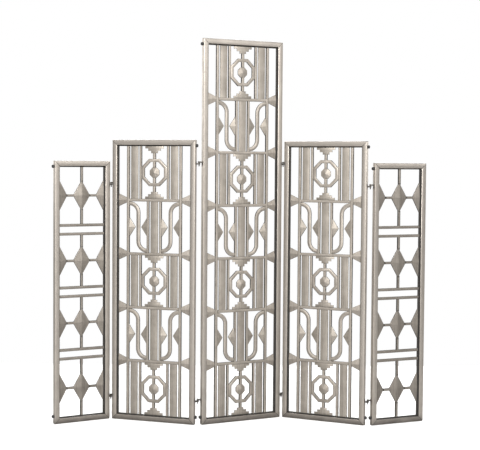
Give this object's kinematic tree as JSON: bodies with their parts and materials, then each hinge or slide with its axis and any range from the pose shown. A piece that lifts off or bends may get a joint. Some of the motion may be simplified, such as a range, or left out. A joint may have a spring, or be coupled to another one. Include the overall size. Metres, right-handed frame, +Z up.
{
  "type": "metal folding screen",
  "caption": "Free-standing metal folding screen: stepped openwork panels in mitred tube frames, hung on each other by hook-and-eye hinges so that they stand in a zigzag or fold up.",
  "frame": {"origin": "on the floor, under the middle of the centre panel's bottom rail", "axes": "+Z up, +X to the right along the row of panels seen from the front, +Y to the back"},
  "size_m": [1.885, 0.2381, 1.93],
  "materials": {
    "frame_metal": "brushed, satin",
    "grille_metal": "brushed, satin",
    "plate_metal": "brushed, darkened",
    "liner_steel": "matt black",
    "hinge_iron": "blackened",
    "bumper_rubber": "smooth black"
  },
  "bodies": {
    "left_outer_panel": {"left_outer_bottom_rail": "frame_metal", "left_outer_bumpers": "bumper_rubber", "left_outer_grille_bars": "grille_metal", "left_outer_left_stile": "frame_metal", "left_outer_liner": "liner_steel", "left_outer_lozenges": "grille_metal", "left_outer_right_stile": "frame_metal", "left_outer_side_lozenges": "grille_metal", "left_outer_top_rail": "frame_metal", "left_outer_fold_eyes": "hinge_iron"},
    "left_inner_panel": {"left_inner_bottom_rail": "frame_metal", "left_inner_brackets": "grille_metal", "left_inner_bumpers": "bumper_rubber", "left_inner_grille_bars": "grille_metal", "left_inner_grille_plates": "plate_metal", "left_inner_left_stile": "frame_metal", "left_inner_liner": "liner_steel", "left_inner_right_stile": "frame_metal", "left_inner_rings": "grille_metal", "left_inner_scrolls": "grille_metal", "left_inner_top_rail": "frame_metal", "left_outer_fold_hooks": "hinge_iron", "left_inner_fold_eyes": "hinge_iron"},
    "centre_panel": {"centre_bottom_rail": "frame_metal", "centre_brackets": "grille_metal", "centre_bumpers": "bumper_rubber", "centre_grille_bars": "grille_metal", "centre_grille_plates": "plate_metal", "centre_left_stile": "frame_metal", "centre_liner": "liner_steel", "centre_right_stile": "frame_metal", "centre_rings": "grille_metal", "centre_scrolls": "grille_metal", "centre_top_rail": "frame_metal", "left_inner_fold_hooks": "hinge_iron", "right_inner_fold_eyes": "hinge_iron"},
    "right_inner_panel": {"right_inner_bottom_rail": "frame_metal", "right_inner_brackets": "grille_metal", "right_inner_bumpers": "bumper_rubber", "right_inner_grille_bars": "grille_metal", "right_inner_grille_plates": "plate_metal", "right_inner_left_stile": "frame_metal", "right_inner_liner": "liner_steel", "right_inner_right_stile": "frame_metal", "right_inner_rings": "grille_metal", "right_inner_scrolls": "grille_metal", "right_inner_top_rail": "frame_metal", "right_inner_fold_hooks": "hinge_iron", "right_outer_fold_eyes": "hinge_iron"},
    "right_outer_panel": {"right_outer_bottom_rail": "frame_metal", "right_outer_bumpers": "bumper_rubber", "right_outer_grille_bars": "grille_metal", "right_outer_left_stile": "frame_metal", "right_outer_liner": "liner_steel", "right_outer_lozenges": "grille_metal", "right_outer_right_stile": "frame_metal", "right_outer_side_lozenges": "grille_metal", "right_outer_top_rail": "frame_metal", "right_outer_fold_hooks": "hinge_iron"}
  },
  "joints": [
    {"name": "left_outer_fold", "type": "hinge", "parent": "left_inner_panel", "child": "left_outer_panel", "pos_m": [-0.66461, 0.03087, 0], "axis": [0, 0, 1], "range_deg": [-51, 119]},
    {"name": "left_inner_fold", "type": "hinge", "parent": "centre_panel", "child": "left_inner_panel", "pos_m": [-0.21615, -0.09511, 0], "axis": [0, 0, 1], "range_deg": [-122, 48]},
    {"name": "right_inner_fold", "type": "hinge", "parent": "centre_panel", "child": "right_inner_panel", "pos_m": [0.21041, 0.09206, 0], "axis": [0, 0, 1], "range_deg": [-115, 55]},
    {"name": "right_outer_fold", "type": "hinge", "parent": "right_inner_panel", "child": "right_outer_panel", "pos_m": [0.64017, -0.08764, 0], "axis": [0, 0, 1], "range_deg": [-52, 118]}
  ]
}
